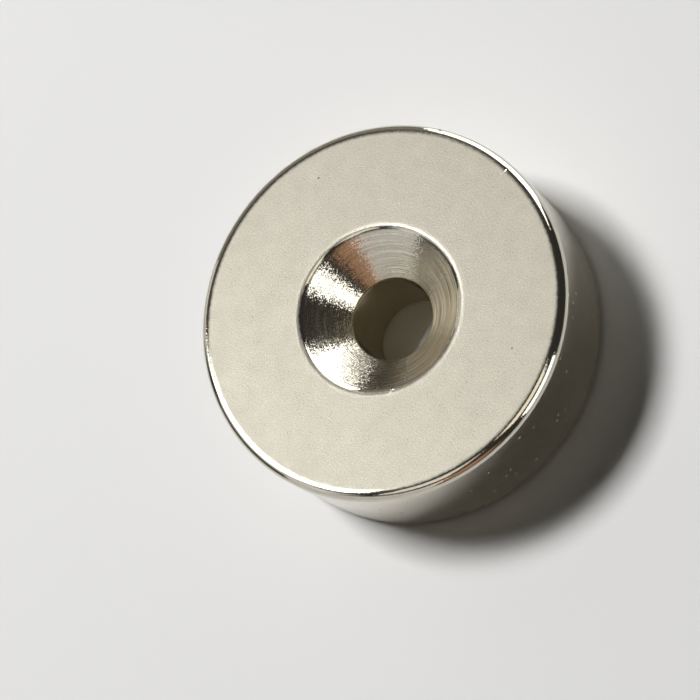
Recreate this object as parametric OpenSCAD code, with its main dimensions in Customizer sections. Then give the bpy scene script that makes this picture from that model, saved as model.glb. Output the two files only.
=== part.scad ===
// Countersunk ring magnet: a thick disc, ground flat on both faces, with one straight
// bore through its middle that opens into a countersink for the head of a screw.
// The origin is the centre of the lower face, and +Z points out of the countersink.

/* [Disc] */
// Outer diameter
outer_d = 30; // [16:0.5:60]
// Height from one flat face to the other
height = 10; // [4:0.5:20]
// Radius of the round on both outer edges
edge_round = 0.6; // [0.1:0.1:3]

/* [Screw hole] */
// Diameter of the straight bore
bore_d = 6.6; // [3:0.1:9]
// Diameter of the countersink at the upper face, measured to its sharp corner
countersink_d = 13; // [10:0.1:24]
// Full angle of the countersink's cone
countersink_angle = 90; // [60:1:120]
// Radius of the round where the countersink meets the upper face
rim_round = 0.52; // [0.1:0.02:2]
// Radius of the rounds at both ends of the straight bore
mouth_round = 0.3; // [0.1:0.1:1]

/* [Smoothness] */
// Segments in a full turn
smoothness = 180; // [48:12:360]

/* [Hidden] */

outer_r = outer_d / 2;
bore_r = bore_d / 2;
countersink_r = countersink_d / 2;
countersink_depth = (countersink_r - bore_r) / tan(countersink_angle / 2);

// Half of the magnet's section, as the radius and height of each sharp corner,
// anticlockwise from the lower end of the bore, and the round that each corner gets
section = [
    [bore_r, 0],
    [outer_r, 0],
    [outer_r, height],
    [countersink_r, height],
    [bore_r, height - countersink_depth]
];
section_rounds = [mouth_round, edge_round, edge_round, rim_round, mouth_round];

function direction(from, to) = (to - from) / norm(to - from);

// A convex outline with its own round at each corner: the sides stop where the rounds
// begin, and a disc in each corner touches the side before it and the side after it
module rounded_outline(corners, rounds) {
    count = len(corners);
    back = [for (i = [0 : count - 1]) direction(corners[i], corners[(i + count - 1) % count])];
    ahead = [for (i = [0 : count - 1]) direction(corners[i], corners[(i + 1) % count])];
    half_angle = [for (i = [0 : count - 1]) acos(back[i] * ahead[i]) / 2];

    polygon([
        for (i = [0 : count - 1])
            let (cut_back = rounds[i] / tan(half_angle[i]))
            each [corners[i] + cut_back * back[i], corners[i] + cut_back * ahead[i]]
    ]);
    for (i = [0 : count - 1])
        translate(corners[i] + (back[i] + ahead[i]) * rounds[i] / sin(2 * half_angle[i]))
            circle(r = rounds[i], $fn = smoothness);
}

// The whole magnet is the section turned once about the bore's axis
module magnet() {
    color("#cdc8bb")
        rotate_extrude($fn = smoothness)
            rounded_outline(section, section_rounds);
}

magnet();
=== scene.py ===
import math

import bpy
import numpy as np
from mathutils import Matrix, Vector


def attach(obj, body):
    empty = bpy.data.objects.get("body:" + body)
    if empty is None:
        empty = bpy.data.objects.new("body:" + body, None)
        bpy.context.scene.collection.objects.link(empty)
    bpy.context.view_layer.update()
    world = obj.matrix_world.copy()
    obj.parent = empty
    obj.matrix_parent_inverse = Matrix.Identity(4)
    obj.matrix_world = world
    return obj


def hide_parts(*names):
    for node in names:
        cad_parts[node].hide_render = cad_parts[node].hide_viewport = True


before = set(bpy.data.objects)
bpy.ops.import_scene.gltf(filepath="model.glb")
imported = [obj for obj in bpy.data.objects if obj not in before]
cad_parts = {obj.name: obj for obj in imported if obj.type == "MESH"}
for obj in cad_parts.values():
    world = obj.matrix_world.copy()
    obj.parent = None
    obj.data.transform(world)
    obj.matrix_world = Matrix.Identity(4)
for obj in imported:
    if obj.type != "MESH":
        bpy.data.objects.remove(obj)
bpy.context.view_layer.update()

# ---- The magnet
# One solid ring of sintered magnet alloy under bright nickel, so all of it shows as one metal.
# Its faces are ground and stay satin, while the side, the edges and the turned countersink are
# bright and softened by tumbling.

mm = 0.001  # every size below is in millimetres, and Blender's own unit is the metre
outer_r, height = 15.0, 10.0
bore_r = 3.3
sink_r = 6.58  # the countersink's rim, where its sharp corner would be
throat = 6.88  # height at which the cone meets the bore
nearest = math.radians(-90)  # the side where the upper edge is worn widest


def heading(start, end):
    """The direction from one section point to another, as an angle."""
    return math.atan2(end[1] - start[1], end[0] - start[0])


# Four ways for a corner to turn, as the share of the turn that is done at each share of its
# length: at one rate, slowly at first, slowly at last, or slowly at both ends
def even(u):
    return u


def late_start(u):
    return u**1.25


def early_end(u):
    return 1 - (1 - u) ** 1.25


def slow_ends(u):
    return u - 0.85 * np.sin(2 * math.pi * u) / (2 * math.pi)


def bend(corner, came, goes, length, turning, steps):
    """The softened corner, which turns by the share that turning gives along its length: its
    points, the outline's heading at each and the run between two of them."""
    slices = 40  # fine slices to a step, so that the sums below come out close
    turn = (goes - came + math.pi) % (2 * math.pi) - math.pi
    along = np.linspace(0, 1, slices * steps + 1)
    angle = came + turn * turning(along)
    step = length / (len(along) - 1)
    run = [np.cumsum((f(angle[1:]) + f(angle[:-1])) / 2 * step) for f in (np.cos, np.sin)]
    run = np.vstack([[0, 0], np.column_stack(run)])
    # how far before the sharp corner the bend starts, so that it ends on the next side
    before = np.linalg.solve(
        [[math.cos(came), math.cos(goes)], [math.sin(came), math.sin(goes)]], run[-1]
    )[0]
    start = np.array(corner) - before * np.array([math.cos(came), math.sin(came)])
    return (start + run)[::slices], angle[::slices], np.full(steps + 1, length / steps)


def outline(upper_edge):
    """Half of the section, anticlockwise from the lower end of the bore, with the upper outer
    edge softened as given: its points, its heading and the run at each. Each corner has its
    place, the length, turning and steps of its bend, and the points along the side after it."""
    corners = [
        ((bore_r, 0.0), (0.5, early_end, 9), 8),
        ((outer_r, 0.0), (1.06, late_start, 20), 7),
        ((outer_r, height), (*upper_edge, 30), 12),
        ((sink_r, height), (0.95, slow_ends, 30), 122),  # the cone after it carries the spiral
        ((bore_r, throat), (0.236, even, 8), 7),
    ]
    bends = []
    for i, (corner, shape, _) in enumerate(corners):
        came = heading(corners[i - 1][0], corner)
        goes = heading(corner, corners[(i + 1) % len(corners)][0])
        bends.append(bend(corner, came, goes, *shape))
    points, angles, runs = [], [], []
    for i, (path, angle, run) in enumerate(bends):
        onward = bends[(i + 1) % len(bends)][0][0]
        share = np.linspace(0, 1, corners[i][2] + 2)[1:-1, None]
        points += [path, path[-1] * (1 - share) + onward * share]
        angles += [angle, np.full(len(share), angle[-1])]
        runs += [run, np.full(len(share), 1.0)]
    return np.vstack(points), np.concatenate(angles), np.concatenate(runs)


# The upper edge is neatly rounded at the back and worn to a soft bevel at the front
neat = outline((0.8, even))
worn = outline((1.22, early_end))

# A nub of plating on the countersink's rim and a nick at the outer edge: the angle round the
# bore, the radius and height on the section, how wide it is and how far it stands proud
nub = (math.radians(-131.5), sink_r + 0.08, height - 0.08, 0.1, 0.075)
nick = (math.radians(-6.8), outer_r - 0.68, height, 0.12, -0.06)

# Once round the bore, with closer steps across each of the two
steps_round = 320
around = set(np.round(np.linspace(0, 2 * math.pi, steps_round + 1)[:-1], 6))
for (centre, *_), reach in ((nick, 0.03), (nub, 0.06)):
    around |= set(np.round((centre + np.linspace(-reach, reach, 13)) % (2 * math.pi), 6))
around = np.array(sorted(around))

feed = 0.17  # how far the turning tool moved up the cone in each turn
groove = 0.0014  # depth of the spiral that it left


def relief(r, z, turn):
    """How far the metal stands proud of the plain section, in millimetres."""
    slant = (sink_r - bore_r) / (height - throat)
    # the spiral fades in above the throat and out below the rim
    fade_in = np.clip((z - throat - 0.15) / 0.25, 0, 1)
    fade_out = np.clip((height - 0.2 - z) / 0.15, 0, 1)
    near_cone = np.abs(r - sink_r - (z - height) * slant) < 0.1
    on_cone = fade_in * fade_out * near_cone
    climb = (z - throat) * math.hypot(1, slant)
    depth = groove * (1 + 0.6 * np.sin(3.1 * climb) * np.sin(7.3 * climb + 1))
    proud = on_cone * depth * np.sin(2 * math.pi * climb / feed + turn)
    for centre, at_r, at_z, wide, tall in (nub, nick):
        off = (turn - centre + math.pi) % (2 * math.pi) - math.pi
        far = (off * at_r) ** 2 + (r - at_r) ** 2 + (z - at_z) ** 2
        proud = proud + tall * np.exp(-far / (2 * wide**2))
    return proud


# The section goes round the bore, from the neat outline to the worn one and back
wear = ((1 + np.cos(around - nearest)) / 2) ** 1.5
points = neat[0][:, None] * (1 - wear[:, None]) + worn[0][:, None] * wear[:, None]
r, z = points[..., 0], points[..., 1]
turn = np.broadcast_to(around, r.shape)
along = [
    f(neat[1])[:, None] * neat[2][:, None] * (1 - wear)
    + f(worn[1])[:, None] * worn[2][:, None] * wear
    for f in (np.cos, np.sin)
]
heads = np.arctan2(along[1], along[0])
out_r, out_z = np.sin(heads), -np.cos(heads)

# The relief lifts each point, and its slope leans the normal there
proud = relief(r, z, turn)
nudge = 0.002  # a small step to each side, which the slopes are measured over
ahead = relief(r + nudge * np.cos(heads), z + nudge * np.sin(heads), turn)
behind = relief(r - nudge * np.cos(heads), z - nudge * np.sin(heads), turn)
slope = (ahead - behind) / (2 * nudge)
slope_round = (relief(r, z, turn + nudge) - relief(r, z, turn - nudge)) / (2 * nudge * r)
normal_r = out_r - slope * np.cos(heads)
normal_z = out_z - slope * np.sin(heads)
verts = np.stack(
    [
        (r + proud * out_r) * np.cos(turn),
        (r + proud * out_r) * np.sin(turn),
        np.clip(z + proud * out_z, 0, height),
    ],
    axis=-1,
).reshape(-1, 3)
normals = np.stack(
    [
        normal_r * np.cos(turn) + slope_round * np.sin(turn),
        normal_r * np.sin(turn) - slope_round * np.cos(turn),
        normal_z,
    ],
    axis=-1,
).reshape(-1, 3)
normals /= np.linalg.norm(normals, axis=1, keepdims=True)

# One closed skin of four-sided faces between neighbouring points
grid = np.arange(r.size).reshape(r.shape)
next_ring, next_column = np.roll(grid, -1, 0), np.roll(grid, -1, 1)
next_both = np.roll(next_ring, -1, 1)
quads = np.stack([grid, next_column, next_both, next_ring], axis=-1).reshape(-1, 4)

body_mesh = bpy.data.meshes.new("magnet_body")
body_mesh.from_pydata((verts * mm).tolist(), [], quads.tolist())
body_mesh.shade_smooth()
body_mesh.normals_split_custom_set_from_vertices(normals.tolist())
magnet_body = bpy.data.objects.new("magnet_body", body_mesh)
bpy.context.scene.collection.objects.link(magnet_body)


class Socket:
    """One output of a shader node. Arithmetic on it adds the nodes that work it out."""

    def __init__(self, tree, out=None):
        self.tree, self.out = tree, out

    def node(self, kind, settings=None, inputs=None, out=0):
        """Adds a node, with its settings first, then the values or links of its sockets."""
        made = self.tree.nodes.new("ShaderNode" + kind)
        for name, value in (settings or {}).items():
            if name == "stops":
                ramp = made.color_ramp
                while len(ramp.elements) < len(value):
                    ramp.elements.new(0.5)
                for element, (position, colour) in zip(ramp.elements, value):
                    element.position, element.color = position, (*colour, 1)
            else:
                setattr(made, name, value)
        for name, value in (inputs or {}).items():
            if isinstance(value, Socket):
                self.tree.links.new(value.out, made.inputs[name])
            else:
                made.inputs[name].default_value = value
        return Socket(self.tree, made.outputs[out] if made.outputs else None)

    def maths(self, operation, a, b):
        return self.node("Math", {"operation": operation}, {0: a, 1: b})

    def __add__(self, other):
        return self.maths("ADD", self, other)

    def __sub__(self, other):
        return self.maths("SUBTRACT", self, other)

    def __rsub__(self, other):
        return self.maths("SUBTRACT", other, self)

    def __mul__(self, other):
        return self.maths("MULTIPLY", self, other)

    __radd__, __rmul__ = __add__, __mul__

    def above(self, low, high):
        """0 below low, 1 above high, and smooth between them."""
        span = {"Value": self, "From Min": low, "From Max": high}
        return self.node("MapRange", {"interpolation_type": "SMOOTHSTEP"}, span)

    def between(self, other, share):
        """A blend of this value and another."""
        return self + (other - self) * share

    def vector(self, operation, other=(0, 0, 0), out="Vector"):
        return self.node("VectorMath", {"operation": operation}, {0: self, 1: other}, out=out)


nickel = bpy.data.materials.new("nickel")
nickel.use_nodes = True
nickel.node_tree.nodes.clear()
metal = Socket(nickel.node_tree)

# Where a point lies on the magnet, in millimetres
place = metal.node("TexCoord", out="Object").vector("DIVIDE", (mm, mm, mm))
across = place.vector("MULTIPLY", (1, 1, 0))
radius = across.vector("LENGTH", out="Value")
level = metal.node("SeparateXYZ", inputs={0: place}, out="Z")


def grain(scale, detail=2.0, rough=0.5, vector=place):
    """Soft noise between 0 and 1, with its scale in cells for each millimetre."""
    sockets = {"Vector": vector, "Scale": scale, "Detail": detail, "Roughness": rough}
    return metal.node("TexNoise", inputs=sockets)


def direction(azimuth, elevation=0):
    """The unit vector that points that way, with both angles in degrees."""
    a, e = math.radians(azimuth), math.radians(elevation)
    return (math.cos(a) * math.cos(e), math.sin(a) * math.cos(e), math.sin(e))


# The ground faces are satin. They turn to bright along a ragged line, within these radii at
# the countersink's rim, at the lower end of the bore and at the outer edges
rim_line = (sink_r - 0.02, sink_r + 0.14)
mouth_line = (bore_r + 0.3, bore_r + 0.5)
edge_line = (outer_r - 0.9, outer_r - 0.55)
upper = level.above(height / 2 - 0.1, height / 2 + 0.1)
ragged = radius + (grain(3.0) - 0.5) * 0.16
hole_side = ragged.above(*rim_line).between(ragged.above(*mouth_line), 1 - upper)
satin = hole_side * (1 - ragged.above(*edge_line))
within_rim = 1 - radius.above(sink_r - 0.23, sink_r - 0.08)
cone = radius.above(bore_r, bore_r + 0.1) * within_rim * upper
bore = 1 - radius.above(bore_r + 0.02, bore_r + 0.15)

# Rings left by the turning tool, uneven in depth and slowly changing on the way round. The
# near side of the cone is rougher, and there the plating is also painted lighter and tan, a
# painted reflection
wheel = across.vector("NORMALIZE")
near_side = direction(-73)
# Painted reflection: this mask also makes the plating lighter and tan on the cone's near side
rough_side_painted_tan = wheel.vector("DOT_PRODUCT", near_side, out="Value").above(0.3, 0.85) * cone
rings_per_mm = 10.0
climb = metal.node("CombineXYZ", inputs={2: radius * rings_per_mm})
rings = grain(1.0, detail=1.0, vector=wheel.vector("ADD", climb))

# Dark specks, each with its radius and angle round the bore and its own width
specks = [
    (12.3, 63.5, 0.15),
    (11.476, -71.9, 0.13),
    (14.84, 19.5, 0.2),
    (14.45, -7.2, 0.12),
]
speck = 0
for at_r, at_angle, wide in specks:
    spot = [at_r * part for part in direction(at_angle)]
    speck = speck + (1 - across.vector("DISTANCE", spot, out="Value").above(0.4 * wide, wide))

# Scattered points make fine pits here and there, and dust on the side, which is dull where
# the plating mirrors
scatter = metal.node("TexVoronoi", inputs={"Vector": place, "Scale": 0.9}, out="Distance")
pit = (1 - scatter.above(0.03, 0.09)) * grain(0.45).above(0.5, 0.62)
dust = (1 - scatter.above(0.06, 0.14)) * radius.above(outer_r - 0.25, outer_r - 0.1)

# Each grain of the plating leans a little its own way, most of all in the countersink
leans = metal.node("TexVoronoi", inputs={"Vector": place, "Scale": 13.0}, out="Color")
leans = leans.vector("SUBTRACT", (0.5, 0.5, 0.5))
lean = metal.node("VectorMath", {"operation": "SCALE"}, {0: leans, "Scale": 0.02 + 0.12 * cone})


def bump(relief_mm):
    """The normal of a surface that has that fine relief, in millimetres."""
    return metal.node("Bump", inputs={"Strength": 1.0, "Distance": mm, "Height": relief_mm})


ring_depth, pit_depth, grit_depth, ripple_depth = 0.011, 0.01, 0.012, 0.0008
cloud = grain(0.35, detail=3.0)
grit = grit_depth * grain(8.0, detail=0.5) + 0.0015 * cloud
satin_bump = bump(satin * grit - pit_depth * pit)
bright_bump = bump(cone * ring_depth * rings + ripple_depth * grain(5.0) - pit_depth * pit)
leaning = bright_bump.vector("ADD", lean).vector("NORMALIZE")

# How pale the plating is, from 0 to 1: cloudy all over, grainy where it is ground, streaked by
# the rings on the cone, painted lighter on the cone's near side as a painted reflection, and
# darker in the specks and pits
tone = 0.25 + 0.5 * grain(0.8, detail=4.0, rough=0.6)
tone = tone + satin * 0.9 * (grain(9.0, detail=0.0) - 0.5)
tone = tone + (cone + 1.5 * rough_side_painted_tan) * (0.13 + 1.1 * (rings - 0.5)) - 0.5 * speck - 0.25 * pit
tarnish, shaded, plain, sheen = (
    (0.15, 0.14, 0.12),
    (0.58, 0.545, 0.455),
    (0.70, 0.665, 0.57),
    (0.92, 0.87, 0.75),
)
stops = [(0.0, tarnish), (0.25, shaded), (0.75, plain), (1.0, sheen)]
plate = metal.node("ValToRGB", {"stops": stops}, {0: tone})

# Painted shade and reflection: the bore is made darker and brown, and the near side of the
# cone tan
red_left = 1 - 0.15 * bore
green_left = 1 - 0.2 * bore - 0.07 * rough_side_painted_tan
blue_left = 1 - 0.3 * bore - 0.2 * rough_side_painted_tan
painted_brown_tint = metal.node("CombineXYZ", inputs={0: red_left, 1: green_left, 2: blue_left})
plate = plate.vector("MULTIPLY", painted_brown_tint)

# The ground finish gets smoother as it runs into the countersink's rim. In the bright one, the
# quarter turn spreads what it mirrors across the rings
rim_roll = 1 - radius.above(sink_r + 0.12, sink_r + 0.62)
ground_rough = 0.5 - 0.14 * rim_roll + 0.08 * (cloud - 0.5)
bright_rough = 0.07 + 0.04 * grain(4.0, detail=4.0) + 0.07 * cone + 0.15 * rough_side_painted_tan
ground = metal.node(
    "BsdfPrincipled",
    inputs={
        "Base Color": plate,
        "Metallic": 1.0,
        "Roughness": ground_rough,
        "Normal": satin_bump,
    },
)
bright = metal.node(
    "BsdfPrincipled",
    inputs={
        "Base Color": plate,
        "Metallic": 1.0,
        "Roughness": bright_rough,
        "Anisotropic": 1.0,
        "Anisotropic Rotation": 0.25,
        "Normal": leaning,
    },
)
finish = metal.node("MixShader", inputs={0: satin + 0.8 * dust, 1: bright, 2: ground})
metal.node("OutputMaterial", inputs={"Surface": finish})
body_mesh.materials.append(nickel)

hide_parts("magnet")
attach(magnet_body, "root")

# ---- The floor
# A plain pale matt sheet that the magnet lies on. It is wide enough to fill the view from any
# side above it.

floor_mesh = bpy.data.meshes.new("floor")
half = 2000 * mm
floor_mesh.from_pydata(
    [(-half, -half, 0), (half, -half, 0), (half, half, 0), (-half, half, 0)], [], [(0, 1, 2, 3)]
)
floor = bpy.data.objects.new("floor", floor_mesh)
bpy.context.scene.collection.objects.link(floor)
sheet = bpy.data.materials.new("pale_sheet")
sheet.use_nodes = True
matt = sheet.node_tree.nodes["Principled BSDF"]
matt.inputs["Base Color"].default_value = (0.8, 0.795, 0.785, 1)
matt.inputs["Roughness"].default_value = 0.9
matt.inputs["Specular IOR Level"].default_value = 0.0
floor_mesh.materials.append(sheet)

# ---- The light
# Eight soft lamps show in the metal only: the key high at the back, and others all round for
# the bright parts to mirror. Three more light only the floor, so that its brightness and the
# shadow can be set by themselves. The room is dim.

aim = Vector((0, 0, 8 * mm))


def softbox(name, at, spread, radiance, lights, colour=(1, 1, 1)):
    """A soft lamp 0.8 m off at that azimuth and elevation, spread over that width and height
    as seen from the magnet, all in degrees, and as bright as radiance, where 1 shows as white.
    It lights the metal or the sheet."""
    far = 800 * mm
    lamp = bpy.data.lights.new(name, "AREA")
    lamp.shape = "RECTANGLE"
    lamp.size, lamp.size_y = (2 * far * math.tan(math.radians(angle / 2)) for angle in spread)
    lamp.energy = radiance * math.pi * lamp.size * lamp.size_y
    lamp.color = colour
    towards = Vector(direction(*at))
    stand = bpy.data.objects.new(name, lamp)
    turned = towards.to_track_quat("Z", "Y").to_matrix().to_4x4()
    stand.matrix_world = Matrix.Translation(aim + towards * far) @ turned
    stand.visible_camera = False
    stand.visible_diffuse = lights == "sheet"
    stand.visible_glossy = lights == "metal"
    bpy.context.scene.collection.objects.link(stand)


warm, warmish = (1, 0.93, 0.8), (1, 0.97, 0.92)
softbox("key", (120, 61), (19, 14), 9.7, "metal")
softbox("overhead", (-80, 69), (18, 26), 1.3, "metal", warm)
softbox("high_left", (-155, 60), (24, 22), 1.0, "metal", warmish)
softbox("right", (25, 16), (44, 56), 3.8, "metal")
softbox("front", (-75, 22), (26, 32), 2.5, "metal")
softbox("left", (-167, 18), (60, 36), 0.63, "metal")
softbox("back_left", (109, 24), (16, 38), 0.6, "metal")
softbox("high_back_left", (150, 42), (40, 22), 0.7, "metal")
softbox("key_on_sheet", (100, 60), (15, 12), 59.0, "sheet")
softbox("right_on_sheet", (80, 34), (36, 30), 0.8, "sheet")
softbox("fill_on_sheet", (0, 90), (90, 90), 0.02, "sheet")

world = bpy.data.worlds.new("room")
bpy.context.scene.world = world
world.use_nodes = True
world.cycles_visibility.diffuse = False  # the floor has lamps of its own
world.node_tree.nodes.clear()
room = Socket(world.node_tree)
look = room.node("TexCoord", out="Generated")


def glow(azimuth, elevation, wide):
    """1 in that direction, falling smoothly to 0 at wide degrees from it."""
    facing = look.vector("DOT_PRODUCT", direction(azimuth, elevation), out="Value")
    return facing.above(math.cos(math.radians(wide)), 1.0)


# Nearly dark all round, a little paler low at the back, with a warm red patch at the front left
shade = 0.035 + 0.3 * glow(78, 25, 40)
red = 0.45 * glow(-124, 24, 21)
green, blue = shade * 0.95 + 0.52 * red, shade * 0.88 + 0.3 * red
colour = room.node("CombineColor", inputs={0: shade + red, 1: green, 2: blue})
lit = room.node("Background", inputs={"Color": colour, "Strength": 1.0})
room.node("OutputWorld", inputs={"Surface": lit})

# ---- The camera
# It stands as the photograph's did, about 0.2 m off and 64 degrees up, with the view turned.

lens_camera = bpy.data.cameras.new("camera")
lens_camera.sensor_width = 36.0
lens_camera.lens = 130.25
lens_camera.clip_start = 0.01
camera = bpy.data.objects.new("camera", lens_camera)
right = Vector((0.5933, -0.7177, -0.3644)).normalized()
forward = Vector((-0.0198, 0.4395, -0.8980)).normalized()
up = right.cross(forward).normalized()
right = forward.cross(up)
stance = Matrix((right, up, -forward)).transposed().to_4x4()
camera.matrix_world = Matrix.Translation(Vector((0, -85.696, 184.813)) * mm) @ stance
bpy.context.scene.collection.objects.link(camera)
bpy.context.scene.camera = camera

bpy.context.scene.view_settings.view_transform = "Standard"
